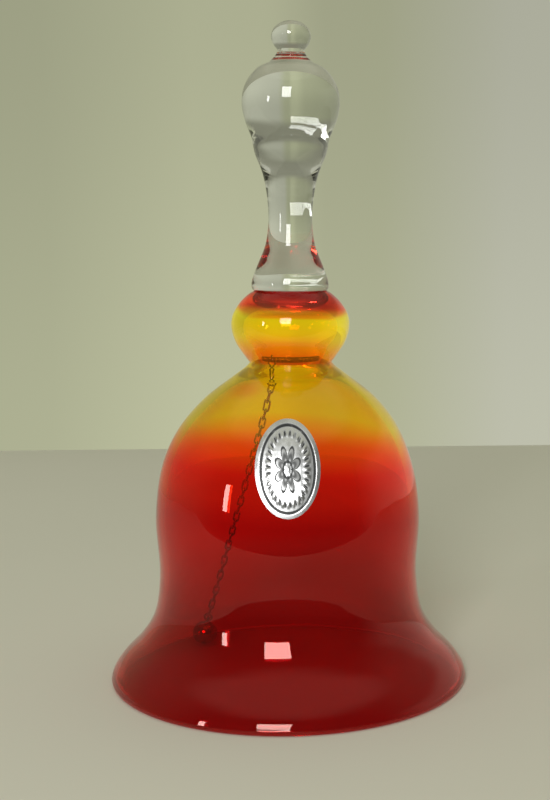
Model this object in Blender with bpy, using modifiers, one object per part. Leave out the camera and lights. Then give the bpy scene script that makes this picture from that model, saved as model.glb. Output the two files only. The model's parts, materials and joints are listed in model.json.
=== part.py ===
"""Blown glass hand bell with an applied clear handle and a ball clapper on a fine chain.

The bell stands on its rim at z = 0, with its axis on Z and its label facing -Y.
"""

from math import cos, pi, radians, sin

import bpy
from mathutils import Matrix, Vector

MM = 0.001
GAP = 0.3 * MM  # clearance kept between pieces that rest on or are bonded to each other

# Blown bell, outside, top to bottom as (radius, height) in mm.
BULB_OUTSIDE = [(9.9, 109.1), (11.2, 108.4), (13.8, 106.0), (16.0, 102.4), (16.4, 99.0),
                (15.3, 95.0), (13.0, 91.4), (11.4, 89.2)]
DOME_OUTSIDE = [(11.4, 89.2), (12.4, 88.1), (16.0, 85.4), (23.7, 79.4), (30.4, 71.3), (34.9, 61.0),
                (37.0, 47.0), (36.2, 30.0), (37.8, 19.0), (41.8, 12.0), (47.4, 6.0),
                (49.6, 2.9), (50.2, 1.3)]
# Blown bell, inside, rim to crown: the wall is 2.4 thick and gathers to 4 at the pinched neck.
DOME_INSIDE = [(47.5, 1.4), (45.4, 4.5), (39.9, 10.6), (35.7, 18.1), (33.8, 29.8), (34.6, 46.9),
               (32.6, 60.2), (28.5, 69.9), (22.2, 77.5), (14.6, 83.4), (9.7, 86.2), (7.3, 88.3)]
BULB_INSIDE = [(7.3, 88.3), (8.3, 90.1), (10.4, 93.2), (12.4, 96.2), (13.1, 99.0), (12.6, 101.6),
               (10.0, 104.2), (5.0, 105.6), (0.0, 105.9)]
RIM_FLAT = ((49.3, 0.0), (48.1, 0.0))  # the ground ring that the bell stands on
BULB_TOP = 109.2  # flat seat under the handle

# Solid handle, outside, finial to foot as (radius, height) in mm.
FINIAL = [(0.0, 182.0), (2.7, 181.4), (4.8, 179.7), (5.4, 177.8), (4.9, 175.8), (3.6, 174.1)]
GRIP = [(3.6, 174.1), (4.2, 172.7), (6.0, 170.9), (9.4, 169.0), (12.4, 165.0), (13.4, 160.0),
        (12.4, 154.8), (10.7, 150.6), (9.9, 146.6), (7.7, 141.0), (6.4, 134.5), (6.05, 127.5),
        (6.9, 121.5), (9.2, 115.6), (10.5, 112.0), (10.7, 110.2)]
FOOT_BOTTOM = ((9.9, 109.5), (0.0, 109.5))
HANDLE_LEAN = radians(0.7)

# The neck was pinched a little off the rim's centre, towards +X.
NECK_SHIFT = 1.2 * MM
SHIFT_FROM, SHIFT_TO = 60 * MM, 88 * MM

LABEL_HALF = (8.4 * MM, 12.1 * MM)
LABEL_HEIGHT = 64.3 * MM
LABEL_FOIL = 0.2 * MM

BAR_RADIUS = 0.6 * MM
BAR_HALF_LENGTH = 8.0 * MM
BAR_HEIGHT = 90.8 * MM

WIRE = 0.25 * MM  # radius of the chain's wire
PLAY = 0.2 * MM  # clearance between two linked wires
LINK_HALF_WIDTH = 0.75 * MM
LINK_COUNT = 30
HANGER_AT = Vector((-4.1, 0.0, 0.0)) * MM  # where along the neck bar the hanger sits
HANGER_SPAN = 9.6 * MM
HANGER_HALF_WIDTH = 1.15 * MM  # wide enough to ride over the bar

BALL_RADIUS = 4.0 * MM
BALL_AT = Vector((-26.4, 27.6, 4.3)) * MM
EYE_RADIUS = 1.05 * MM  # centreline of the cast eye on the ball
EYE_WIRE = 0.35 * MM
EYE_STANDS = 4.7 * MM  # eye's centre above the ball's centre
RING_RADIUS = 1.2 * MM  # centreline of the round ring that joins chain and clapper
SAG = 1.2 * MM  # how far the chain hangs below a straight line

# The chain runs from the hanger's lower bow to the eye of the clapper, which tips towards it.
HANGER_TOP = HANGER_AT + Vector((0.0, 0.0, BAR_HEIGHT + BAR_RADIUS + PLAY + WIRE))
HANGER_BOTTOM = HANGER_TOP - Vector((0.0, 0.0, HANGER_SPAN))
CLAPPER_UP = (HANGER_TOP + Vector((0.0, 0.0, 13.0 * MM)) - BALL_AT).normalized()
EYE_TOP = BALL_AT + CLAPPER_UP * (EYE_STANDS + EYE_RADIUS)
CHAIN_RUN = (EYE_TOP - HANGER_BOTTOM).length
HOOKED = 2 * WIRE + PLAY  # how far two linked bows pass each other
RING_HOOKED = WIRE + EYE_WIRE + PLAY
CHAIN_LENGTH = CHAIN_RUN + 8 * SAG**2 / (3 * CHAIN_RUN)
LINK_SPAN = (CHAIN_LENGTH + HOOKED + RING_HOOKED - 2 * RING_RADIUS) / LINK_COUNT + HOOKED
ACROSS = (EYE_TOP - HANGER_BOTTOM).cross(Vector((0.0, 0.0, -1.0))).normalized()  # level, across the lean

GLASS_STEPS = 48
HANDLE_STEPS = 32
OUTER_CUTS, INNER_CUTS = 2, 1  # parts that each span of an outline is divided into


def material(name, colour, roughness, metallic=0.0, transmission=0.0):
    made = bpy.data.materials.new(name)
    made.use_nodes = True
    shader = made.node_tree.nodes["Principled BSDF"]
    shader.inputs["Base Color"].default_value = (*colour, 1.0)
    shader.inputs["Roughness"].default_value = roughness
    shader.inputs["Metallic"].default_value = metallic
    shader.inputs["Transmission Weight"].default_value = transmission
    made.diffuse_color = (*colour, 1.0)
    return made


def add(name, data, collection, finish):
    """A new object holding this mesh or curve."""
    made = bpy.data.objects.new(name, data)
    collection.objects.link(made)
    data.materials.append(finish)
    return made


def smooth(stations, cuts=OUTER_CUTS):
    """Points along a centripetal Catmull-Rom curve through the stations, in their own units."""
    points = [Vector(p) for p in stations]
    ends = [2 * points[0] - points[1], *points, 2 * points[-1] - points[-2]]
    out = []
    for a, b, c, d in zip(ends, ends[1:], ends[2:], ends[3:]):
        t1 = (b - a).length ** 0.5
        t2 = t1 + (c - b).length ** 0.5
        t3 = t2 + (d - c).length ** 0.5
        for k in range(cuts):
            t = t1 + (t2 - t1) * k / cuts
            ab = a.lerp(b, t / t1)
            bc = b.lerp(c, (t - t1) / (t2 - t1))
            cd = c.lerp(d, (t - t2) / (t3 - t2))
            out.append(ab.lerp(bc, t / t2).lerp(bc.lerp(cd, (t - t1) / (t3 - t1)), (t - t1) / (t2 - t1)))
    return [*out, points[-1]]


def turned(name, outline, steps, collection, finish):
    """A solid of revolution from an outline in mm that runs down its outer side at +X."""
    mesh = bpy.data.meshes.new(name)
    mesh.from_pydata([(r * MM, 0.0, z * MM) for r, z in outline], [(i, i + 1) for i in range(len(outline) - 1)], [])
    made = add(name, mesh, collection, finish)
    screw = made.modifiers.new("Turn", "SCREW")
    screw.steps = screw.render_steps = steps
    screw.use_merge_vertices = True
    screw.merge_threshold = 0.00001
    screw.use_smooth_shade = True
    return made


def shaped(made, place):
    """Applies an object's modifiers and moves each vertex to where place puts it."""
    bpy.context.view_layer.update()
    fixed = bpy.data.meshes.new_from_object(made.evaluated_get(bpy.context.evaluated_depsgraph_get()))
    made.modifiers.clear()
    made.data = fixed
    for vertex in fixed.vertices:
        vertex.co = place(vertex.co.copy())
    return made


def off_centre(point):
    """Carries a point of the round bell sideways, more and more towards the pinched neck."""
    t = min(max((point.z - SHIFT_FROM) / (SHIFT_TO - SHIFT_FROM), 0.0), 1.0)
    return point + Vector((NECK_SHIFT * t * t * (3 - 2 * t), 0.0, 0.0))


def make_bell(collection, glass):
    bulb = smooth(BULB_OUTSIDE)
    outline = [(0.0, BULB_TOP), (BULB_OUTSIDE[0][0] - 0.5, BULB_TOP)]
    outline += bulb[:-1] + smooth(DOME_OUTSIDE)
    outline += RIM_FLAT
    outline += smooth(DOME_INSIDE, INNER_CUTS)[:-1] + smooth(BULB_INSIDE, INNER_CUTS)
    return shaped(turned("bell_body", outline, GLASS_STEPS, collection, glass), off_centre)


def make_handle(collection, glass):
    outline = smooth(FINIAL)[:-1] + smooth(GRIP)
    outline += FOOT_BOTTOM
    foot = Vector((NECK_SHIFT, 0.0, FOOT_BOTTOM[0][1] * MM))
    turn = Matrix.Rotation(HANDLE_LEAN, 3, "Y")
    axis_foot = Vector((0.0, 0.0, foot.z))
    # the lean would dip the foot's edge by less than the gap under it
    return shaped(turned("handle", outline, HANDLE_STEPS, collection, glass),
                  lambda v: foot + turn @ (v - axis_foot))


def radius_at(height):
    """The dome's outer radius at a height."""
    outline = [p * MM for p in smooth(DOME_OUTSIDE)]
    for upper, lower in zip(outline, outline[1:]):
        if lower.y <= height <= upper.y:
            return lower.x + (upper.x - lower.x) * (height - lower.y) / (upper.y - lower.y)
    raise ValueError("no dome at this height")


def make_label(collection, foil):
    """An oval of foil that follows the dome at the front."""
    rings = 5
    mesh = bpy.data.meshes.new("foil_label")
    mesh.from_pydata([(i / rings, 0.0, 0.0) for i in range(rings + 1)], [(i, i + 1) for i in range(rings)], [])
    made = add("foil_label", mesh, collection, foil)
    screw = made.modifiers.new("Turn", "SCREW")
    screw.steps = screw.render_steps = 28
    screw.use_merge_vertices = True
    screw.merge_threshold = 0.00001

    def wrap(spot):
        height = LABEL_HEIGHT + spot.y * LABEL_HALF[1]
        radius = radius_at(height) + GAP
        angle = spot.x * LABEL_HALF[0] / radius
        return off_centre(Vector((radius * sin(angle), -radius * cos(angle), height)))

    shaped(made, wrap)
    shell = made.modifiers.new("Foil", "SOLIDIFY")
    shell.thickness = LABEL_FOIL
    shell.offset = 1.0
    return made


def wire_loop(name, points, radius, collection, metal, closed=True, sides=1):
    """A wire along the points, closed on itself or with filled ends."""
    curve = bpy.data.curves.new(name, "CURVE")
    curve.dimensions = "3D"
    curve.bevel_depth = radius
    curve.bevel_resolution = sides
    curve.use_fill_caps = not closed
    spline = curve.splines.new("POLY")
    spline.points.add(len(points) - 1)
    for point, place in zip(spline.points, points):
        point.co = (*place, 1.0)
    spline.use_cyclic_u = closed
    return add(name, curve, collection, metal)


def oval(span, half_width, bow_points=4):
    """The centreline of a link: two half circles joined by straight sides, in the XZ plane."""
    half = span / 2 - half_width
    points = []
    for end in (1, -1):
        for i in range(bow_points + 1):
            turn = pi * i / bow_points if end > 0 else pi + pi * i / bow_points
            points.append(Vector((half_width * cos(turn), 0.0, end * half + half_width * sin(turn))))
    return points


def along(direction, roll):
    """Turns +Z to a direction, after a roll that starts with +X across the lean."""
    z = direction.normalized()
    x = ACROSS - z * ACROSS.dot(z)
    x.normalize()
    y = z.cross(x)
    return Matrix((x, y, z)).transposed() @ Matrix.Rotation(roll, 3, "Z")


def chain_line(t):
    """The chain's line from the hanger's lower bow to the clapper's eye, with a little sag."""
    return HANGER_BOTTOM.lerp(EYE_TOP, t) - Vector((0.0, 0.0, 4 * SAG * t * (1 - t)))


def chain_places():
    """Where each link's two bow centres lie, top link first, then the ring's top and bottom."""
    places, cursor = [], HANGER_BOTTOM
    for i in range(LINK_COUNT):
        ahead = (chain_line((i + 1) / LINK_COUNT) - chain_line(i / LINK_COUNT)).normalized()
        top = cursor - ahead * HOOKED
        cursor = top + ahead * LINK_SPAN
        places.append((top, cursor))
    ahead = (EYE_TOP - cursor).normalized()
    top = cursor - ahead * HOOKED
    places.append((top, top + ahead * 2 * RING_RADIUS))
    return places


def make_bar(collection, metal):
    bpy.ops.mesh.primitive_cylinder_add(vertices=16, radius=BAR_RADIUS, depth=2 * BAR_HALF_LENGTH)
    made = bpy.context.object
    made.name = made.data.name = "neck_bar"
    made.rotation_euler = (0.0, pi / 2, 0.0)
    made.location = (NECK_SHIFT, 0.0, BAR_HEIGHT)
    bpy.context.collection.objects.unlink(made)
    collection.objects.link(made)
    made.data.materials.append(metal)
    return made


def make_hanger(collection, metal):
    """A long wire loop with a quarter turn of twist, from round the bar to the first link."""
    middle = (HANGER_TOP + HANGER_BOTTOM) / 2
    half = HANGER_SPAN / 2 - HANGER_HALF_WIDTH
    flat = oval(HANGER_SPAN, HANGER_HALF_WIDTH)
    bows = len(flat) // 2
    path = flat[:bows] + [Vector((-HANGER_HALF_WIDTH, 0.0, half - 2 * half * i / 8)) for i in range(1, 8)]
    path += flat[bows:] + [Vector((HANGER_HALF_WIDTH, 0.0, -half + 2 * half * i / 8)) for i in range(1, 8)]

    def twisted(v):
        share = min(max((v.z + half) / (2 * half), 0.0), 1.0)
        narrow = 1 - 0.35 * sin(pi * share)
        return middle + Matrix.Rotation(pi / 2 * share, 3, "Z") @ Vector((v.x * narrow, 0.0, v.z))

    return wire_loop("hanger_loop", [twisted(v) for v in path], WIRE, collection, metal)


def make_chain(collection, metal):
    places = chain_places()
    for i, (top, bottom) in enumerate(places[:-1]):
        turn = along(top - bottom, 0.0 if i % 2 else pi / 2)
        centre = (top + bottom) / 2
        path = [centre + turn @ v for v in oval(LINK_SPAN, LINK_HALF_WIDTH)]
        wire_loop(f"chain_link_{i + 1:02d}", path, WIRE, collection, metal)
    top, bottom = places[-1]
    turn = along(top - bottom, 0.0 if LINK_COUNT % 2 else pi / 2)
    centre = (top + bottom) / 2
    ring = [centre + turn @ Vector((RING_RADIUS * cos(a), 0.0, RING_RADIUS * sin(a)))
            for a in (2 * pi * k / 16 for k in range(16))]
    wire_loop("clapper_ring", ring, WIRE, collection, metal)


def make_clapper(collection, cutters, metal):
    """A cast ball with an eye on top, set along the end of the chain."""
    turn = along(CLAPPER_UP, 0.0).to_4x4()
    bpy.ops.mesh.primitive_uv_sphere_add(segments=24, ring_count=14, radius=BALL_RADIUS)
    ball = bpy.context.object
    ball.name = ball.data.name = "clapper_ball"
    ball.matrix_world = Matrix.Translation(BALL_AT) @ turn @ Matrix.Rotation(radians(6.0), 4, "Z")
    bpy.ops.mesh.primitive_torus_add(major_segments=16, minor_segments=8,
                                     major_radius=EYE_RADIUS, minor_radius=EYE_WIRE)
    eye = bpy.context.object
    eye.name = eye.data.name = "clapper_eye_join"
    eye.matrix_world = (Matrix.Translation(BALL_AT + CLAPPER_UP * EYE_STANDS) @ turn
                        @ Matrix.Rotation(pi / 2, 4, "X"))
    for made, home in ((ball, collection), (eye, cutters)):
        bpy.context.collection.objects.unlink(made)
        home.objects.link(made)
        made.data.materials.append(metal)
    eye.hide_render = True
    eye.display_type = "WIRE"
    join = ball.modifiers.new("Eye", "BOOLEAN")
    join.operation = "UNION"
    join.object = eye
    return ball


def main():
    for old in list(bpy.data.objects):
        bpy.data.objects.remove(old)
    bell = bpy.data.collections.new("glass_bell")
    cutters = bpy.data.collections.new("cutters")
    for made in (bell, cutters):
        bpy.context.scene.collection.children.link(made)
    struck = material("struck_glass", (0.75, 0.05, 0.01), 0.03, transmission=1.0)
    clear = material("clear_glass", (0.93, 0.95, 0.92), 0.02, transmission=1.0)
    foil = material("silver_foil", (0.72, 0.73, 0.74), 0.35, metallic=1.0)
    steel = material("chain_steel", (0.42, 0.36, 0.30), 0.35, metallic=1.0)
    polished = material("clapper_metal", (0.62, 0.60, 0.57), 0.2, metallic=1.0)
    make_bell(bell, struck)
    make_handle(bell, clear)
    make_label(bell, foil)
    make_bar(bell, steel)
    make_hanger(bell, steel)
    make_chain(bell, steel)
    make_clapper(bell, cutters, polished)


if __name__ == "__main__":
    main()
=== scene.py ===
"""Glass hand bell: the finished pieces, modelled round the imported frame, with the studio they stand in.

Each piece keeps the place and size of the frame's node that it stands for. Lengths are in metres;
outlines and label patterns are in millimetres, where their comments say so.
"""

import json
from math import atan2, cos, hypot, pi, radians, sin

import bmesh
import bpy
from bpy.props import FloatProperty, FloatVectorProperty, IntProperty, PointerProperty
from bpy.types import Operator, Panel, PropertyGroup
from mathutils import Matrix, Vector


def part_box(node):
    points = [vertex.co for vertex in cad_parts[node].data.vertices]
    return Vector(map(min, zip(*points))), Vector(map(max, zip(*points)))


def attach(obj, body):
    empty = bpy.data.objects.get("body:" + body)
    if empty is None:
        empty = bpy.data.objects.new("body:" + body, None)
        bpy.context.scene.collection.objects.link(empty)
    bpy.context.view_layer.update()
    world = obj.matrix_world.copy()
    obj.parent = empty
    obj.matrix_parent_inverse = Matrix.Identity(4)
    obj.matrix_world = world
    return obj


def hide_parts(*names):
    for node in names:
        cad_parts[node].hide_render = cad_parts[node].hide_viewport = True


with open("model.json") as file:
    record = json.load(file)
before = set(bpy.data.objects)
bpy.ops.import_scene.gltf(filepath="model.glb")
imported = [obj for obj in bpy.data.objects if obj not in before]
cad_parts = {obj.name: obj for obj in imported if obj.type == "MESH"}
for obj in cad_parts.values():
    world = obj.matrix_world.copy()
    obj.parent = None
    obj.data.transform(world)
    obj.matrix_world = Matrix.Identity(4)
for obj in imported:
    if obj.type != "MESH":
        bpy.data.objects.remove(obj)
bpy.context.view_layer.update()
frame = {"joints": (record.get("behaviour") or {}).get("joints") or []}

bl_info = {
    "name": "Glass Hand Bell",
    "version": (1, 0, 0),
    "blender": (4, 5, 0),
    "location": "3D View > Sidebar > Glass Bell",
    "description": "Builds a blown glass hand bell with its handle, label, chain and clapper",
    "category": "Object",
}

MM = 0.001
JOINTS = {joint["name"]: joint for joint in frame["joints"]}

# Blown bell, outside, crown to rim, as (radius, height) in mm.
CROWN = [(0.0, 109.2), (9.4, 109.2)]
BULB_OUTSIDE = [(9.9, 109.1), (11.2, 108.4), (13.8, 106.0), (16.0, 102.4), (16.4, 99.0),
                (15.3, 95.0), (13.0, 91.4), (11.4, 89.2)]
DOME_OUTSIDE = [(11.4, 89.2), (12.4, 88.1), (16.0, 85.4), (23.7, 79.4), (30.4, 71.3), (34.9, 61.0),
                (37.0, 47.0), (36.2, 30.0), (37.8, 19.0), (41.8, 12.0), (47.4, 6.0),
                (49.6, 2.9), (50.2, 1.3)]
RIM = [(50.1, 0.5), (49.7, 0.1), (49.3, 0.0), (48.1, 0.0), (47.7, 0.2), (47.4, 0.7)]
# Blown bell, inside, rim to crown.
DOME_INSIDE = [(47.5, 1.4), (45.4, 4.5), (39.9, 10.6), (35.7, 18.1), (33.8, 29.8), (34.6, 46.9),
               (32.6, 60.2), (28.5, 69.9), (22.2, 77.5), (14.6, 83.4), (9.7, 86.2), (7.3, 88.3)]
BULB_INSIDE = [(7.3, 88.3), (8.3, 90.1), (10.4, 93.2), (12.4, 96.2), (13.1, 99.0), (12.6, 101.6),
               (10.0, 104.2), (5.0, 105.6), (0.0, 105.9)]
# The neck was pinched off centre: the bell's axis shifts between these two heights.
SHIFT_FROM, SHIFT_TO = 60 * MM, 88 * MM

# Solid handle, outside, finial to foot, as (radius, height) in mm. The foot sinks into the crown, as
# hot glass does where it is joined.
FINIAL = [(0.0, 182.0), (2.7, 181.4), (4.8, 179.7), (5.4, 177.8), (4.9, 175.8), (3.6, 174.1)]
GRIP = [(3.6, 174.1), (4.2, 172.7), (6.0, 170.9), (9.4, 169.0), (12.4, 165.0), (13.4, 160.0),
        (12.4, 154.8), (10.7, 150.6), (9.9, 146.6), (7.7, 141.0), (6.4, 134.5), (6.05, 127.5),
        (6.9, 121.5), (9.2, 115.6), (10.5, 112.0), (10.7, 110.2), (10.35, 109.2)]
FOOT = [(9.6, 108.8), (0.0, 108.8)]

# Colour of the bell's glass by height in mm, as (height, name of the colour in the settings).
TINTS = [(0.0, "crimson"), (18.0, "crimson"), (33.0, "deep_red"), (49.0, "deep_red"), (55.0, "red"),
         (62.0, "red"), (65.5, "vermilion"), (69.0, "orange"), (72.5, "amber"), (88.0, "amber"),
         (89.6, "ember"), (92.0, "orange"), (95.5, "amber"), (102.4, "yellow"), (104.2, "red"),
         (105.8, "red"), (107.6, "crimson")]
# A smear of struck glass on the left of the shoulder: its middle and its reach, in metres.
SMEAR_AT, SMEAR_REACH = (-0.0115, -0.0145, 0.0828), (0.0075, 0.010, 0.0032)
# How strongly the glass scatters light, 0 to 1, by height in mm.
SCATTER = [(0.0, 0.55), (12.0, 0.55), (24.0, 0.10), (48.0, 0.10), (56.0, 0.55), (66.0, 0.80),
           (72.0, 0.55), (86.0, 0.45), (91.0, 1.0), (103.0, 1.0), (107.0, 0.35)]

# Label's pattern, in mm: the printed line and the border lie at these distances in from the edge.
INK = "ink"
BORDER_LINE, BORDER_LINE_HALF = 1.45, 0.52
BAND_FROM, BAND_TO, BAND_STROKES = 2.5, 4.4, 28
PETALS, PETAL_REACH, PETAL_WAIST, ROSETTE_TALL = 8, 3.4, 1.5, 1.7
BOSS = 1.0

# Twisted wire hanger.
HANGER_CUTS = 48
HANGER_TWIST = radians(90 + 2 * 360)
STRAND_APART = 2.1  # from the hanger's middle to each strand, in wire radii

# Studio, in metres.
TABLE_HALF, TABLE_BACK, TABLE_FRONT = 1.5, 0.43, -0.155
TABLE_DROP = 0.1 * MM  # keeps the table clear of the rim that stands on it
# The walls' light from left to right, as (sideways part of the direction, level, wall).
WALL_LEVELS = [(-0.9, 0.62, "wall"), (-0.18, 0.86, "wall"), (-0.07, 1.03, "wall"),
               (-0.01, 1.03, "wall"), (0.03, 0.88, "wall"), (0.075, 0.88, "wall"),
               (0.17, 1.03, "side_wall"), (0.8, 1.25, "side_wall")]
WINDOW_AIM = Vector((0.0, 0.0, 0.08))
WINDOW_DISTANCE = 1.2


# ---------------------------------------------------------------- settings

def length(label, description, default):
    return FloatProperty(name=label, description=description, default=default, min=0.0, precision=5,
                         subtype="DISTANCE", unit="LENGTH")


def colour(label, description, default):
    return FloatVectorProperty(name=label, description=description, default=default, size=3, min=0.0,
                               max=1.0, subtype="COLOR")


def angle(label, description, default):
    return FloatProperty(name=label, description=description, default=default, subtype="ANGLE",
                         unit="ROTATION")


def count(label, description, default):
    return IntProperty(name=label, description=description, default=default, min=3)


class BodySettings(PropertyGroup):
    steps: count("Steps", "Faces round the blown glass", 192)
    off_centre: length("Off centre", "How far the pinched neck stands from the rim's centre", 1.2 * MM)
    yellow: colour("Yellow", "Glass of the bulb's middle", (1.0, 0.86, 0.03))
    amber: colour("Amber", "Glass that never struck", (1.0, 0.74, 0.03))
    orange: colour("Orange", "Glass that began to strike", (1.0, 0.42, 0.02))
    ember: colour("Ember", "Thick glass at the pinched neck", (0.95, 0.27, 0.02))
    vermilion: colour("Vermilion", "Edge of the struck glass", (1.0, 0.20, 0.012))
    red: colour("Red", "Struck glass of the shoulder", (0.97, 0.06, 0.012))
    deep_red: colour("Deep red", "Struck glass of the waist", (0.86, 0.02, 0.012))
    crimson: colour("Crimson", "Thick struck glass of the flare and the crown", (0.56, 0.012, 0.016))
    shine: colour("Shine", "Tint of what the glass mirrors at right angles", (1.0, 0.60, 0.54))
    scatter: FloatProperty(name="Scatter", default=0.08, min=0.0,
                           description="Light that the struck glass scatters, as a faint glow")
    waver: FloatProperty(name="Waver", default=3.0, min=0.0,
                         description="How far the colour bands wander up and down, in millimetres")


class HandleSettings(PropertyGroup):
    steps: count("Steps", "Faces round the handle", 128)
    lean: angle("Lean", "How far the handle leans to the right of upright", radians(0.7))
    tint: colour("Tint", "Clear glass, a little grey", (0.90, 0.92, 0.88))


class LabelSettings(PropertyGroup):
    rings: count("Rings", "Rings of faces from the label's middle to its edge", 76)
    spokes: count("Spokes", "Faces round the label", 256)
    foil: length("Foil", "Thickness of the foil", 0.12 * MM)
    stands_off: length("Stands off", "Gum between the foil and the glass", 0.08 * MM)
    relief: length("Relief", "Height of the stamped pattern", 0.14 * MM)
    silver: colour("Silver", "Bare foil", (0.78, 0.79, 0.79))
    ink: colour("Ink", "Dark ink in the stamped pattern", (0.018, 0.02, 0.02))


class ChainSettings(PropertyGroup):
    wire: length("Wire", "Radius of the chain's wire", 0.25 * MM)
    half_width: length("Half width", "Centreline radius of a link's bow", 0.75 * MM)
    hooked: length("Hooked", "How far two linked bows pass each other", 0.7 * MM)
    roll: angle("Roll", "How far the chain is rolled about its own line, so that it faces front",
                radians(39))
    ring_radius: length("Ring radius", "Centreline radius of the clapper's ring", 1.2 * MM)
    bronze: colour("Bronze", "Tarnished wire", (0.045, 0.03, 0.02))
    bright: colour("Bright", "Rubbed wire", (0.22, 0.16, 0.11))


class ClapperSettings(PropertyGroup):
    radius: length("Radius", "Radius of the cast ball", 4.0 * MM)
    eye_radius: length("Eye radius", "Centreline radius of the ball's eye", 1.05 * MM)
    eye_wire: length("Eye wire", "Radius of the eye's own section", 0.35 * MM)
    eye_height: length("Eye height", "Eye's centre above the ball's centre", 4.7 * MM)
    metal: colour("Metal", "Polished casting", (0.50, 0.47, 0.43))


class StageSettings(PropertyGroup):
    table: colour("Table", "Pale table top", (0.72, 0.71, 0.59))
    wall: colour("Wall", "Soft light of the wall behind the bell", (0.46, 0.475, 0.315))
    side_wall: colour("Side wall", "Soft light of the wall at the right", (0.46, 0.465, 0.37))
    ceiling: colour("Ceiling", "Dim strip between the wall and the overhead light", (0.24, 0.24, 0.18))
    overhead: colour("Overhead", "Soft light from above", (0.50, 0.50, 0.42))
    front: colour("Front", "Dimmer room in front of the bell", (0.09, 0.09, 0.075))
    window: FloatProperty(name="Window", description="Power of the window behind the camera, in watts",
                          default=10.0, min=0.0)
    side_window: FloatProperty(name="Side window", description="Power of the window at the left, in watts",
                               default=1.5, min=0.0)
    distance: length("Camera distance", "From the rim's centre, level with the floor", 353.7 * MM)
    height: length("Camera height", "Above the floor", 118.5 * MM)
    pitch: angle("Pitch", "How far the camera looks down", radians(6.47))
    yaw: angle("Yaw", "How far the camera looks to the right", radians(1.96))
    roll: angle("Roll", "How far the camera is turned clockwise", radians(0.31))
    lens: FloatProperty(name="Lens", default=57.18,
                        description="Focal length in millimetres on a 36 mm sensor")
    shift: FloatProperty(name="Shift", description="Sideways shift of the view", default=-0.06875)


class GlassBellSettings(PropertyGroup):
    body: PointerProperty(name="Body", description="Blown bell", type=BodySettings)
    handle: PointerProperty(name="Handle", description="Clear handle", type=HandleSettings)
    label: PointerProperty(name="Label", description="Foil label", type=LabelSettings)
    chain: PointerProperty(name="Chain", description="Chain and its fittings", type=ChainSettings)
    clapper: PointerProperty(name="Clapper", description="Ball clapper", type=ClapperSettings)
    stage: PointerProperty(name="Stage", description="Studio and camera", type=StageSettings)


# ---------------------------------------------------------------- shader building

class Signal:
    """A shader socket that works in sums: each operator adds its Math node."""

    def __init__(self, finish, socket):
        self.finish = finish
        self.socket = socket

    def maths(self, operation, *others):
        return self.finish.node("Math", {"operation": operation}, dict(enumerate((self, *others))))

    def __add__(self, other):
        return self.maths("ADD", other)

    __radd__ = __add__

    def __mul__(self, other):
        return self.maths("MULTIPLY", other)

    __rmul__ = __mul__

    def __sub__(self, other):
        return self.maths("SUBTRACT", other)

    def __rsub__(self, other):
        return self.finish.node("Math", {"operation": "SUBTRACT"}, {0: other, 1: self})

    def __truediv__(self, other):
        return self.maths("DIVIDE", other)

    def between(self, low, high):
        """0 below low, 1 above high, and a soft step from one to the other."""
        return self.finish.node("MapRange", {"interpolation_type": "SMOOTHSTEP"},
                                {"Value": self, "From Min": low, "From Max": high})


class Finish:
    """A material, or the world, as it is being wired."""

    def __init__(self, holder):
        holder.use_nodes = True
        self.holder = holder
        self.tree = holder.node_tree

    def node(self, kind, settings=None, values=None, output=0):
        """Adds a node: first its settings, then the values or links of its sockets."""
        made = self.tree.nodes.new("ShaderNode" + kind)
        for key, value in (settings or {}).items():
            if key == "stops":
                self.fill(made.color_ramp, value)
            else:
                setattr(made, key, value)
        for key, value in (values or {}).items():
            self.feed(made.inputs[key], value)
        return Signal(self, made.outputs[output])

    def fill(self, ramp, stops):
        """Sets a colour ramp's stops from (position, colour)."""
        while len(ramp.elements) < len(stops):
            ramp.elements.new(1.0)
        for element, (position, tint) in zip(ramp.elements, stops):
            element.position = position
            element.color = (*tint, 1.0)

    def feed(self, socket, value):
        if isinstance(value, Signal):
            self.tree.links.new(value.socket, socket)
        else:
            socket.default_value = value

    def split(self, vector):
        """The x, y and z of a vector."""
        parts = self.node("SeparateXYZ", {}, {0: vector})
        return [Signal(self, socket) for socket in parts.socket.node.outputs]

    def noise(self, place, scale, detail=2.0, stretch=(1.0, 1.0, 1.0)):
        """Noise from 0 to 1 whose grain is drawn out where stretch is small."""
        spot = self.node("Mapping", {}, {"Vector": place, "Scale": stretch})
        return self.node("TexNoise", {}, {"Vector": spot, "Scale": scale, "Detail": detail})

    def mix(self, factor, first, second, blend="MIX"):
        """Two colours mixed."""
        return self.node("Mix", {"data_type": "RGBA", "blend_type": blend},
                         {0: factor, 6: first, 7: second}, output=2)

    def bump(self, height, distance, strength=1.0):
        return self.node("Bump", {}, {"Height": height, "Distance": distance, "Strength": strength})

    def place(self):
        return self.node("TexCoord", output="Object")


def principled(name, view_colour, values):
    """A new material with one Principled shader that has these values on its own sockets."""
    material = bpy.data.materials.new(name)
    material.diffuse_color = (*view_colour, 1.0)
    finish = Finish(material)
    shader = finish.tree.nodes["Principled BSDF"]
    for key, value in values.items():
        finish.feed(shader.inputs[key], value)
    return finish, shader


def rgba(tint):
    return (*tint, 1.0)


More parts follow.
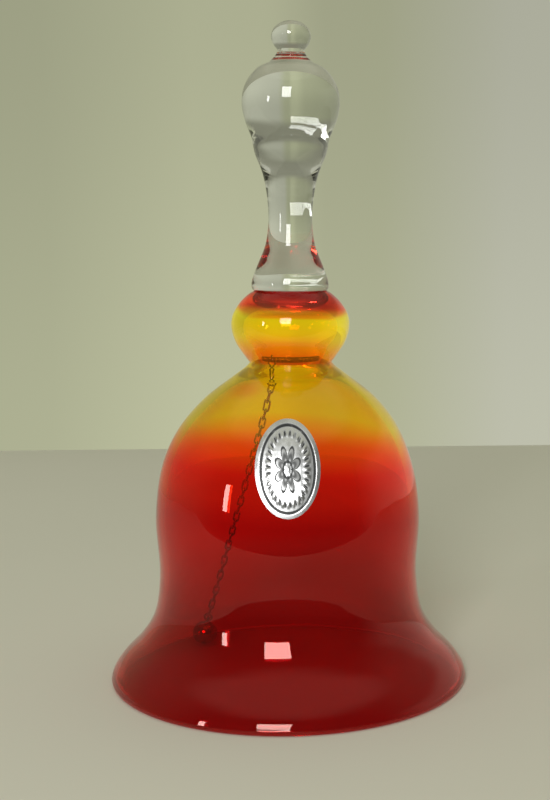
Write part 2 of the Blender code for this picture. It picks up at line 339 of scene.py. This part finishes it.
def struck_glass(body):
    """Amber glass that struck red where it was heated again: the colour goes by height, in soft bands."""
    finish, shader = principled("struck_glass", body.red, {
        "Transmission Weight": 1.0, "IOR": 1.5, "Specular Tint": rgba(body.shine),
        "Emission Strength": body.scatter})
    place = finish.place()
    x, _, z = finish.split(place)
    wander = finish.noise(place, 14.0, 1.0) - 0.5
    height = z / MM + x / MM * 0.05 + wander * body.waver
    stops = [(mm / BULB_OUTSIDE[0][1], getattr(body, name)) for mm, name in TINTS]
    upward = height / BULB_OUTSIDE[0][1]
    band = finish.node("ValToRGB", {"stops": stops}, {0: upward})
    levels = [(mm / BULB_OUTSIDE[0][1], (level, level, level)) for mm, level in SCATTER]
    strength = finish.node("ValToRGB", {"stops": levels}, {0: upward})
    finish.feed(shader.inputs["Emission Color"], finish.mix(1.0, band, strength, "MULTIPLY"))
    cords = finish.noise(place, 55.0, 3.0, (1.0, 1.0, 0.12)).between(0.3, 0.7)
    deeper = finish.mix(0.10, (1.0, 1.0, 1.0, 1.0), (0.75, 0.45, 0.4, 1.0))
    tinted = finish.mix(cords, band, finish.mix(1.0, band, deeper, "MULTIPLY"))
    spot = finish.node("Mapping", {"vector_type": "TEXTURE"},
                       {"Vector": place, "Location": SMEAR_AT, "Scale": SMEAR_REACH})
    smear = 1.0 - finish.node("VectorMath", {"operation": "LENGTH"}, {0: spot}, output=1).between(0.2, 1.0)
    finish.feed(shader.inputs["Base Color"], finish.mix(smear * 0.6, tinted, rgba(body.ember)))
    smudge = finish.noise(place, 30.0, 4.0).between(0.55, 0.8)
    finish.feed(shader.inputs["Roughness"], smudge * 0.035 + 0.005)
    swell = finish.noise(place, 22.0, 1.0, (1.0, 1.0, 0.5))
    finish.feed(shader.inputs["Normal"], finish.bump(swell + cords * 0.05, 0.35 * MM, 0.35))
    return finish.holder


def clear_glass(handle):
    """Clear glass, drawn and tooled while hot, so that faint rings run round it."""
    finish, shader = principled("clear_glass", handle.tint, {"Transmission Weight": 1.0, "IOR": 1.5})
    place = finish.place()
    tooled = finish.noise(place, 40.0, 1.0, (0.25, 0.25, 3.0))
    swell = finish.noise(place, 60.0, 1.0)
    finish.feed(shader.inputs["Normal"], finish.bump(tooled + swell * 0.6, 0.12 * MM, 0.35))
    grey = finish.noise(place, 25.0, 2.0)
    tint = finish.mix(grey, rgba(handle.tint), rgba([c * 0.97 for c in handle.tint]))
    finish.feed(shader.inputs["Base Color"], tint)
    finish.feed(shader.inputs["Roughness"], grey.between(0.6, 0.8) * 0.02 + 0.003)
    return finish.holder


def silver_foil(label):
    """Stamped silver foil, rubbed by handling, with dark ink in the pattern."""
    finish, shader = principled("silver_foil", label.silver, {})
    ink = finish.node("Attribute", {"attribute_name": INK}, output="Fac")
    place = finish.place()
    grain = finish.noise(place, 900.0, 2.0, (1.0, 1.0, 0.12))
    blotch = finish.noise(place, 220.0, 4.0)
    worn = ink * blotch.between(0.12, 0.36)
    rubbed = rgba([c * 0.72 for c in label.silver])
    silver = finish.mix(blotch.between(0.35, 0.7), rgba(label.silver), rubbed)
    finish.feed(shader.inputs["Base Color"], finish.mix(worn, silver, rgba(label.ink)))
    finish.feed(shader.inputs["Metallic"], 1.0 - worn)
    finish.feed(shader.inputs["Roughness"], grain * 0.2 + blotch * 0.15 + worn * 0.2 + 0.12)
    finish.feed(shader.inputs["Normal"], finish.bump(grain + blotch * 0.8, 0.02 * MM, 0.6))
    return finish.holder


def chain_steel(chain):
    """Thin drawn wire, tarnished brown and rubbed bright in spots."""
    finish, shader = principled("chain_steel", chain.bronze, {"Metallic": 1.0})
    place = finish.place()
    rubbed = finish.noise(place, 1600.0, 3.0).between(0.5, 0.68)
    drawn = finish.noise(place, 5000.0, 1.0, (1.0, 1.0, 0.2))
    finish.feed(shader.inputs["Base Color"], finish.mix(rubbed, rgba(chain.bronze), rgba(chain.bright)))
    finish.feed(shader.inputs["Roughness"], 0.46 - rubbed * 0.2 + drawn * 0.1)
    finish.feed(shader.inputs["Normal"], finish.bump(drawn, 0.01 * MM, 0.6))
    return finish.holder


def clapper_metal(clapper):
    """A cast ball, polished on a wheel, with fine scratches and dull spots."""
    finish, shader = principled("clapper_metal", clapper.metal, {"Metallic": 1.0})
    place = finish.place()
    scratches = finish.noise(place, 2600.0, 2.0, (1.0, 1.0, 0.05))
    spots = finish.noise(place, 700.0, 4.0).between(0.55, 0.75)
    finish.feed(shader.inputs["Base Color"],
                finish.mix(spots, rgba(clapper.metal), rgba([c * 0.5 for c in clapper.metal])))
    finish.feed(shader.inputs["Roughness"], spots * 0.25 + scratches * 0.1 + 0.08)
    finish.feed(shader.inputs["Normal"], finish.bump(scratches - spots * 0.5, 0.01 * MM, 0.5))
    return finish.holder


def studio_paint(stage):
    """Matt pale paint with a very faint mottle."""
    finish, shader = principled("studio_paint", stage.table, {"Roughness": 0.75, "Specular IOR Level": 0.3})
    place = finish.place()
    mottle = finish.noise(place, 6.0, 4.0)
    _, y, _ = finish.split(place)
    paint = finish.mix(y.between(-0.1, 0.4), rgba(stage.table), rgba([c * 1.14 for c in stage.table]))
    finish.feed(shader.inputs["Base Color"],
                finish.mix(mottle, paint, finish.mix(1.0, paint, (0.95, 0.95, 0.95, 1.0), "MULTIPLY")))
    return finish.holder


# ---------------------------------------------------------------- modelling helpers

def start():
    """Nothing is selected, so that the next operator acts on its own piece alone."""
    bpy.ops.object.select_all(action="DESELECT")


def taken(name):
    """The object that the last operator added, under its own name."""
    piece = bpy.context.object
    piece.name = piece.data.name = name
    return piece


def edit(kind="VERT"):
    bpy.ops.object.mode_set(mode="EDIT")
    bpy.ops.mesh.select_mode(type=kind)


def leave_edit():
    bpy.ops.object.mode_set(mode="OBJECT")


def pick(piece, test):
    """Selects, in edit mode, the vertices whose place passes the test."""
    cage = bmesh.from_edit_mesh(piece.data)
    for vertex in cage.verts:
        vertex.select_set(test(vertex.co))
    cage.select_flush_mode()
    bmesh.update_edit_mesh(piece.data)


def drawn_out(name, rings, steps):
    """A surface drawn out ring by ring from a pole. rings holds (radius, centre): the first has no
    radius, and a last one with no radius closes it in a point."""
    start()
    radius, centre = rings[1]
    bpy.ops.mesh.primitive_circle_add(vertices=steps, radius=radius, fill_type="TRIFAN")
    piece = taken(name)
    edit()
    pick(piece, lambda co: co.length < radius / 2)
    bpy.ops.transform.translate(value=rings[0][1] - centre)
    bpy.ops.mesh.select_all(action="SELECT")
    bpy.ops.transform.translate(value=centre)
    bpy.ops.mesh.select_all(action="DESELECT")
    bpy.ops.mesh.select_mode(type="EDGE")
    bpy.ops.mesh.select_non_manifold(extend=False, use_wire=False, use_boundary=True,
                                     use_multi_face=False, use_non_contiguous=False, use_verts=False)
    for next_radius, next_centre in rings[2:]:
        bpy.ops.mesh.extrude_region_move(TRANSFORM_OT_translate={"value": next_centre - centre})
        if next_radius > 0:
            grown = next_radius / radius
            bpy.ops.transform.resize(value=(grown, grown, 1.0), center_override=next_centre)
        else:
            bpy.ops.mesh.merge(type="CENTER")
        radius, centre = next_radius, next_centre
    bpy.ops.mesh.select_all(action="SELECT")
    bpy.ops.mesh.normals_make_consistent(inside=False)
    leave_edit()
    return piece


def smooth(stations, cuts):
    """Points along a centripetal Catmull-Rom curve through the stations, in their own units."""
    points = [Vector(p) for p in stations]
    ends = [2 * points[0] - points[1], *points, 2 * points[-1] - points[-2]]
    out = []
    for a, b, c, d in zip(ends, ends[1:], ends[2:], ends[3:]):
        t1 = (b - a).length ** 0.5
        t2 = t1 + (c - b).length ** 0.5
        t3 = t2 + (d - c).length ** 0.5
        for k in range(cuts):
            t = t1 + (t2 - t1) * k / cuts
            ab = a.lerp(b, t / t1)
            bc = b.lerp(c, (t - t1) / (t2 - t1))
            cd = c.lerp(d, (t - t2) / (t3 - t2))
            out.append(ab.lerp(bc, t / t2).lerp(bc.lerp(cd, (t - t1) / (t3 - t1)), (t - t1) / (t2 - t1)))
    return [*out, points[-1]]


def apply_modifier(piece, kind, **settings):
    """Adds a modifier with these settings and applies it."""
    start()
    piece.select_set(True)
    bpy.context.view_layer.objects.active = piece
    modifier = piece.modifiers.new(kind.title(), kind)
    for key, value in settings.items():
        setattr(modifier, key, value)
    bpy.ops.object.modifier_apply(modifier=modifier.name)


def placed_copy(pattern, name, matrix):
    """A copy of a piece, with its own mesh, put in its place."""
    copy = pattern.copy()
    copy.data = pattern.data.copy()
    copy.name = copy.data.name = name
    bpy.context.collection.objects.link(copy)
    copy.data.transform(matrix)
    return copy


def finished(piece, material, slot, body, *nodes, crease=radians(40)):
    """Shades a piece, gives it its finish and hands it to the frame in place of its nodes."""
    start()
    piece.select_set(True)
    bpy.context.view_layer.objects.active = piece
    bpy.ops.object.transform_apply(location=True, rotation=True, scale=True)
    bpy.ops.object.shade_smooth_by_angle(angle=crease)
    piece.data.materials.clear()
    piece.data.materials.append(material)
    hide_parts(*nodes)
    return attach(piece, body)


def frame_of(width, along):
    """Turns +X to the width and +Z to the direction along."""
    z = Vector(along).normalized()
    y = z.cross(Vector(width)).normalized()
    return Matrix((y.cross(z), y, z)).transposed().to_4x4()


# ---------------------------------------------------------------- pieces

def axis_at(height, off_centre):
    """The bell's centre at a height: it drifts sideways towards the pinched neck."""
    t = min(max((height - SHIFT_FROM) / (SHIFT_TO - SHIFT_FROM), 0.0), 1.0)
    return Vector((off_centre * t * t * (3 - 2 * t), 0.0, height))


class GLASSBELL_OT_body(Operator):
    """Blown bell, one closed wall from the crown over the rim and up inside to the bulb"""

    bl_idname = "glassbell.body"
    bl_label = "Blown body"

    def execute(self, context):
        body = context.scene.glass_bell.body
        outline = CROWN + smooth(BULB_OUTSIDE, 6)[:-1] + smooth(DOME_OUTSIDE, 8)
        outline += RIM + smooth(DOME_INSIDE, 6)[:-1] + smooth(BULB_INSIDE, 6)
        rings = [(r * MM, axis_at(z * MM, body.off_centre)) for r, z in outline]
        piece = drawn_out("bell_glass", rings, body.steps)
        finished(piece, struck_glass(body), "struck_glass", "bell", "bell_body",
                 crease=radians(50))
        return {"FINISHED"}


class GLASSBELL_OT_handle(Operator):
    """Solid clear handle with its finial, sunk a little into the crown where it was joined"""

    bl_idname = "glassbell.handle"
    bl_label = "Clear handle"

    def execute(self, context):
        handle = context.scene.glass_bell.handle
        outline = smooth(FINIAL, 8)[:-1] + smooth(GRIP, 8) + FOOT
        rings = [(r * MM, Vector((0.0, 0.0, z * MM))) for r, z in outline]
        piece = drawn_out("handle_glass", rings, handle.steps)
        foot = Vector((context.scene.glass_bell.body.off_centre, 0.0, 0.0))
        pivot = Matrix.Translation((0.0, 0.0, CROWN[0][1] * MM))
        lean = pivot @ Matrix.Rotation(handle.lean, 4, "Y") @ pivot.inverted()
        piece.data.transform(Matrix.Translation(foot) @ lean)
        finished(piece, clear_glass(handle), "clear_glass", "bell", "handle")
        return {"FINISHED"}


def hump(distance, half):
    """1 at distance 0, falling smoothly to 0 at half."""
    t = min(abs(distance) / half, 1.0)
    return 1 - t * t * (3 - 2 * t)


def stamped(u, v, half_u, half_v):
    """How high the foil stands and how dark it is printed, each 0 to 1, at a spot in mm from its middle."""
    reach = hypot(u / half_u, v / half_v)
    if reach < 1e-6:
        return 0.6, 1.0
    inset = (1 - reach) * hypot(u, v) / reach
    turn = atan2(v / half_v, u / half_u)
    line = hump(inset - BORDER_LINE, BORDER_LINE_HALF)
    margin = 1 - min(inset / BORDER_LINE, 1.0) ** 6
    in_band = hump(inset - (BAND_FROM + BAND_TO) / 2, (BAND_TO - BAND_FROM) * 0.62)
    lobe = cos(turn * BAND_STROKES)
    stroke = in_band * min(max(-lobe * 3.2 - 0.9, 0.0), 1.0)
    gadroon = in_band * max(lobe, 0.0) ** 0.5
    rho = hypot(u, v / ROSETTE_TALL)
    phi = atan2(v / ROSETTE_TALL, u)
    edge = PETAL_WAIST + (PETAL_REACH - PETAL_WAIST) * abs(sin(phi * PETALS / 2)) ** 0.8
    outline = hump(rho - edge, 0.34)
    petal = hump(rho - edge * 0.62, edge * 0.42)
    centre = hump(rho, BOSS)
    gap = hump(rho - BOSS * 1.15, 0.3)
    raised = max(margin * 0.7, gadroon * 0.9, petal, centre)
    ink = min(1.0, line * 3.0 + stroke * 1.6 + outline * 1.8 + gap * 1.6 + petal * 0.9)
    return raised * (1 - 0.6 * ink), ink


class GLASSBELL_OT_label(Operator):
    """Oval foil label, stamped and printed flat and then laid on the glass"""

    bl_idname = "glassbell.label"
    bl_label = "Foil label"

    def execute(self, context):
        label = context.scene.glass_bell.label
        glass = bpy.data.objects.get("bell_glass")
        if glass is None:
            raise RuntimeError("the label is laid on the glass, so the body comes first")
        low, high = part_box("foil_label")
        middle, half = (low + high) / 2, (high - low) / 2
        rings = [(k / label.rings, Vector()) for k in range(label.rings + 1)]
        piece = drawn_out("label_foil", rings, label.spokes)
        mesh = piece.data
        ink = mesh.attributes.new(INK, "FLOAT", "POINT")
        heights = []
        for vertex, printed in zip(mesh.vertices, ink.data):
            half_u, half_v = half.x / MM, half.z / MM
            raised, dark = stamped(vertex.co.x * half_u, vertex.co.y * half_v, half_u, half_v)
            heights.append(raised * label.relief)
            printed.value = dark
        size = Matrix.Diagonal((half.x, half.z, 1.0, 1.0))
        before_glass = Matrix.Translation((middle.x, low.y - half.x, middle.z))
        mesh.transform(before_glass @ Matrix.Rotation(pi / 2, 4, "X") @ size)
        apply_modifier(piece, "SHRINKWRAP", target=glass, wrap_method="PROJECT", use_project_y=True,
                       offset=label.stands_off)
        outward = [vertex.normal.copy() for vertex in piece.data.vertices]
        for vertex, normal, raised in zip(piece.data.vertices, outward, heights):
            vertex.co += normal * raised
        apply_modifier(piece, "SOLIDIFY", thickness=label.foil, offset=1.0)
        finished(piece, silver_foil(label), "silver_foil", "bell", "foil_label", crease=radians(60))
        return {"FINISHED"}


def wire_oval(name, straight, bow_radius, wire, mid_cuts=0):
    """A closed wire: a ring stood upright and pulled apart into two bows joined by straight sides."""
    start()
    bpy.ops.mesh.primitive_torus_add(major_segments=32, minor_segments=12, major_radius=bow_radius,
                                     minor_radius=wire)
    piece = taken(name)
    piece.data.transform(Matrix.Rotation(pi / 2, 4, "X"))
    edit()
    level = bow_radius * 0.01
    for side in (1, -1):
        pick(piece, lambda co, side=side: co.z * side > level)
        bpy.ops.transform.translate(value=(0.0, 0.0, side * straight / 2))
    if mid_cuts:
        bpy.ops.mesh.select_mode(type="EDGE")
        cage = bmesh.from_edit_mesh(piece.data)
        for edge in cage.edges:
            edge.select_set(abs(edge.verts[0].co.z - edge.verts[1].co.z) > straight / 4)
        bmesh.update_edit_mesh(piece.data)
        bpy.ops.mesh.subdivide(number_cuts=mid_cuts)
    leave_edit()
    return piece


def solder_seam(piece, wire, bow_radius):
    """Thickens one straight side of a link where its ends were joined."""
    edit()
    spot = Vector((bow_radius, 0.0, 0.0))
    pick(piece, lambda co: (co - spot).length < wire * 1.3)
    bpy.ops.transform.resize(value=(1.22, 1.22, 1.0), center_override=spot)
    leave_edit()


def span_between(upper, lower, chain):
    """A link's length and its place, from its own joint and the next one."""
    own, following = JOINTS[upper], JOINTS[lower]
    top, bottom = Vector(own["pos_m"]), Vector(following["pos_m"])
    ahead = (bottom - top).normalized()
    top -= ahead * chain.hooked
    turn = frame_of(following["axis"], top - bottom) @ Matrix.Rotation(chain.roll, 4, "Z")
    return (top - bottom).length, Matrix.Translation((top + bottom) / 2) @ turn


class GLASSBELL_OT_neck_fittings(Operator):
    """Wire bar across the neck, with the twisted wire hanger that rides on it"""

    bl_idname = "glassbell.neck_fittings"
    bl_label = "Neck bar and hanger"

    def execute(self, context):
        chain = context.scene.glass_bell.chain
        steel = chain_steel(chain)
        low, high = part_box("neck_bar")
        middle, half = (low + high) / 2, (high - low) / 2
        start()
        bpy.ops.mesh.primitive_cylinder_add(vertices=32, radius=half.z, depth=2 * half.x,
                                            end_fill_type="NGON")
        bar = taken("neck_bar_wire")
        edit("FACE")
        cage = bmesh.from_edit_mesh(bar.data)
        for face in cage.faces:
            face.select_set(abs(face.normal.z) > 0.9)
        bmesh.update_edit_mesh(bar.data)
        bpy.ops.mesh.inset(thickness=half.z * 0.15)
        for grow, step in ((0.8, 0.3), (0.6, 0.2), (0.5, 0.1)):
            for side in (1, -1):
                pick_end(bar, side)
                out = {"value": (0, 0, side * step * half.z)}
                bpy.ops.mesh.extrude_region_move(TRANSFORM_OT_translate=out)
                bpy.ops.transform.resize(value=(grow, grow, 1.0))
        leave_edit()
        bar.data.transform(Matrix.Translation(middle) @ Matrix.Rotation(pi / 2, 4, "Y"))
        finished(bar, steel, "chain_steel", "bell", "neck_bar")

        low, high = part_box("hanger_loop")
        middle, half = (low + high) / 2, (high - low) / 2
        bow = half.x - chain.wire
        straight = 2 * (half.z - chain.wire - bow)
        hanger = wire_oval("hanger_wire", straight, bow, chain.wire, mid_cuts=HANGER_CUTS)
        for vertex in hanger.data.vertices:
            vertex.co = twisted(vertex.co, straight, bow, chain.wire)
        hanger.data.transform(Matrix.Translation(middle))
        finished(hanger, steel, "chain_steel", "hanger", "hanger_loop")
        return {"FINISHED"}


def pick_end(piece, side):
    """Selects, in edit mode, the face that closes one end of a bar along Z."""
    bpy.ops.mesh.select_all(action="DESELECT")
    cage = bmesh.from_edit_mesh(piece.data)
    far = max(cage.faces, key=lambda face: face.calc_center_median().z * side)
    far.select_set(True)
    bmesh.update_edit_mesh(piece.data)


def twisted(co, straight, bow, wire):
    """Twists the two sides of the hanger round each other between its bows, and draws them together."""
    up = min(max(co.z / straight + 0.5, 0.0), 1.0)
    side = 1.0 if co.x > 0 else -1.0
    together = 1 - hump(up, 0.3) - hump(1 - up, 0.3)
    if abs(co.z) >= straight / 2:
        together = 0.0
    centre = side * bow
    drawn = co.x - centre * together * (1 - STRAND_APART * wire / bow)
    turn = Matrix.Rotation(HANGER_TWIST * up, 3, "Z")
    return turn @ Vector((drawn, co.y, co.z))


class GLASSBELL_OT_chain(Operator):
    """Thirty wire links and the round ring that holds the clapper"""

    bl_idname = "glassbell.chain"
    bl_label = "Chain and ring"

    def execute(self, context):
        chain = context.scene.glass_bell.chain
        steel = bpy.data.materials["chain_steel"]
        swings = [name for name in JOINTS if name.startswith("chain_link")] + ["clapper_ring_swing"]
        span, _ = span_between(swings[0], swings[1], chain)
        pattern = wire_oval("link_pattern", span - 2 * chain.half_width, chain.half_width, chain.wire)
        solder_seam(pattern, chain.wire, chain.half_width)
        for number, (own, following) in enumerate(zip(swings, swings[1:]), 1):
            _, place = span_between(own, following, chain)
            link = placed_copy(pattern, f"link_{number:02d}_wire", place)
            finished(link, steel, "chain_steel", JOINTS[own]["child"], f"chain_link_{number:02d}")
        bpy.data.objects.remove(pattern)
        span, place = span_between("clapper_ring_swing", "clapper_swing", chain)
        ring = wire_oval("clapper_ring_wire", span - 2 * chain.ring_radius, chain.ring_radius, chain.wire)
        ring.data.transform(place)
        finished(ring, steel, "chain_steel", JOINTS["clapper_ring_swing"]["child"], "clapper_ring")
        return {"FINISHED"}


class GLASSBELL_OT_clapper(Operator):
    """Cast ball with a parting line, a boss and the eye that the ring goes through"""

    bl_idname = "glassbell.clapper"
    bl_label = "Clapper"

    def execute(self, context):
        clapper = context.scene.glass_bell.clapper
        radius = clapper.radius
        low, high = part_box("clapper_ball")
        centre = Vector((low.x + radius, high.y - radius, low.z + radius))
        swing = JOINTS["clapper_swing"]
        upward = Vector(swing["pos_m"]) - centre
        roll = Matrix.Rotation(context.scene.glass_bell.chain.roll, 4, "Z")
        turn = frame_of(Vector(swing["axis"]).cross(upward), upward) @ roll
        start()
        bpy.ops.mesh.primitive_uv_sphere_add(segments=64, ring_count=32, radius=radius)
        ball = taken("clapper_cast")
        edit("FACE")
        cage = bmesh.from_edit_mesh(ball.data)
        for face in cage.faces:
            face.select_set(face.calc_center_median().z > radius * 0.955)
        bmesh.update_edit_mesh(ball.data)
        bpy.ops.mesh.extrude_region_move(TRANSFORM_OT_translate={"value": (0, 0, radius * 0.03)})
        bpy.ops.transform.resize(value=(0.7, 0.7, 0.4), center_override=(0, 0, radius))
        bpy.ops.mesh.select_all(action="DESELECT")
        bpy.ops.mesh.select_mode(type="EDGE")
        cage = bmesh.from_edit_mesh(ball.data)
        for edge in cage.edges:
            edge.select_set(max(abs(v.co.z) for v in edge.verts) < radius * 0.01)
        bmesh.update_edit_mesh(ball.data)
        bpy.ops.mesh.bevel(offset=radius * 0.02, segments=2, affect="EDGES")
        pick(ball, lambda co: abs(co.z) < radius * 0.005)
        bpy.ops.transform.resize(value=(1.008, 1.008, 1.0), center_override=(0, 0, 0))
        leave_edit()
        start()
        bpy.ops.mesh.primitive_torus_add(major_segments=32, minor_segments=16,
                                         major_radius=clapper.eye_radius, minor_radius=clapper.eye_wire,
                                         location=(0, 0, clapper.eye_height), rotation=(pi / 2, 0, 0))
        eye = taken("clapper_eye_pattern")
        bpy.ops.object.transform_apply(location=True, rotation=True, scale=True)
        apply_modifier(ball, "BOOLEAN", operation="UNION", object=eye)
        bpy.data.objects.remove(eye)
        ball.data.transform(Matrix.Translation(centre) @ turn)
        finished(ball, clapper_metal(clapper), "clapper_metal", "clapper", "clapper_ball",
                 crease=radians(35))
        return {"FINISHED"}


class GLASSBELL_OT_stage(Operator):
    """Pale table before a pale wall of light, two windows and the camera"""

    bl_idname = "glassbell.stage"
    bl_label = "Studio and camera"

    def execute(self, context):
        stage = context.scene.glass_bell.stage
        self.table(stage)
        self.room_light(context, stage)
        self.windows(stage)
        self.camera(context, stage)
        return {"FINISHED"}

    def table(self, stage):
        """Table top whose back and front edges lie close to the bell."""
        start()
        bpy.ops.mesh.primitive_plane_add(size=2 * TABLE_HALF)
        table = taken("table_top")
        edit()
        for side, edge in ((1, TABLE_BACK), (-1, TABLE_FRONT)):
            pick(table, lambda co, side=side: co.y * side > 0)
            bpy.ops.transform.translate(value=(0.0, edge - side * TABLE_HALF, 0.0))
        leave_edit()
        table.data.transform(Matrix.Translation((0.0, 0.0, -TABLE_DROP)))
        table.data.materials.append(studio_paint(stage))

    def room_light(self, context, stage):
        """Soft light all round: pale behind the bell, brighter to the right, dim in front."""
        world = bpy.data.worlds.new("studio_light")
        context.scene.world = world
        finish = Finish(world)
        x, y, z = finish.split(finish.node("TexCoord", output="Generated"))
        stops = [((turn + 1) / 2, [c * level for c in getattr(stage, side)])
                 for turn, level, side in WALL_LEVELS]
        wall = finish.node("ValToRGB", {"stops": stops}, {0: (x + 1.0) / 2.0})
        fade = finish.mix(z.between(-0.18, 0.22), (1.08, 1.08, 1.08, 1.0), (0.86, 0.86, 0.86, 1.0))
        wall = finish.mix(1.0, wall, fade, "MULTIPLY")
        wall = finish.mix(z.between(0.30, 0.45), wall, rgba(stage.ceiling))
        low_front = rgba([c * 1.7 for c in stage.front])
        front = finish.mix(z.between(-0.22, -0.06), low_front, rgba(stage.front))
        glow = finish.mix(y.between(-0.55, 0.1), front, wall)
        lit = finish.mix(z.between(0.68, 0.84), glow, rgba(stage.overhead))
        finish.feed(finish.tree.nodes["Background"].inputs["Color"], lit)

    def windows(self, stage):
        """A window behind the camera and a narrow one at the left."""
        for name, power, size, turn, rise in (
            ("window_front", stage.window, (0.42, 0.50), radians(-10), radians(22)),
            ("window_left", stage.side_window, (0.09, 0.30), radians(-54), radians(8)),
        ):
            bpy.ops.object.light_add(type="AREA")
            lamp = taken(name)
            lamp.data.shape = "RECTANGLE"
            lamp.data.size, lamp.data.size_y = size
            lamp.data.energy = power
            toward = Vector((sin(turn) * cos(rise), -cos(turn) * cos(rise), sin(rise)))
            lamp.location = WINDOW_AIM + toward * WINDOW_DISTANCE
            lamp.rotation_euler = toward.to_track_quat("Z", "Y").to_euler()
            lamp.visible_camera = False

    def camera(self, context, stage):
        """The camera, a little above the bell's middle and aimed slightly to its right."""
        bpy.ops.object.camera_add()
        camera = taken("camera")
        camera.matrix_world = (Matrix.Translation((0.0, -stage.distance, stage.height))
                               @ Matrix.Rotation(-stage.yaw, 4, "Z")
                               @ Matrix.Rotation(pi / 2 - stage.pitch, 4, "X")
                               @ Matrix.Rotation(-stage.roll, 4, "Z"))
        camera.data.sensor_width = 36.0
        camera.data.lens = stage.lens
        camera.data.shift_x = stage.shift
        camera.data.clip_start = 0.01
        context.scene.camera = camera
        context.scene.view_settings.view_transform = "Standard"


class GLASSBELL_PT_pieces(Panel):
    """Lists the bell's pieces, in the order they are made"""

    bl_idname = "GLASSBELL_PT_pieces"
    bl_label = "Glass Bell"
    bl_space_type = "VIEW_3D"
    bl_region_type = "UI"
    bl_category = "Glass Bell"

    def draw(self, context):
        for operator in OPERATORS:
            self.layout.operator(operator.bl_idname)


OPERATORS = (GLASSBELL_OT_body, GLASSBELL_OT_handle, GLASSBELL_OT_label, GLASSBELL_OT_neck_fittings,
             GLASSBELL_OT_chain, GLASSBELL_OT_clapper, GLASSBELL_OT_stage)
CLASSES = (BodySettings, HandleSettings, LabelSettings, ChainSettings, ClapperSettings, StageSettings,
           GlassBellSettings, *OPERATORS, GLASSBELL_PT_pieces)


def register():
    for made in CLASSES:
        bpy.utils.register_class(made)
    bpy.types.Scene.glass_bell = PointerProperty(type=GlassBellSettings)


def unregister():
    del bpy.types.Scene.glass_bell
    for made in reversed(CLASSES):
        bpy.utils.unregister_class(made)


def main():
    register()
    bpy.ops.glassbell.body()
    bpy.ops.glassbell.handle()
    bpy.ops.glassbell.label()
    bpy.ops.glassbell.neck_fittings()
    bpy.ops.glassbell.chain()
    bpy.ops.glassbell.clapper()
    bpy.ops.glassbell.stage()


if __name__ == "__main__":
    main()
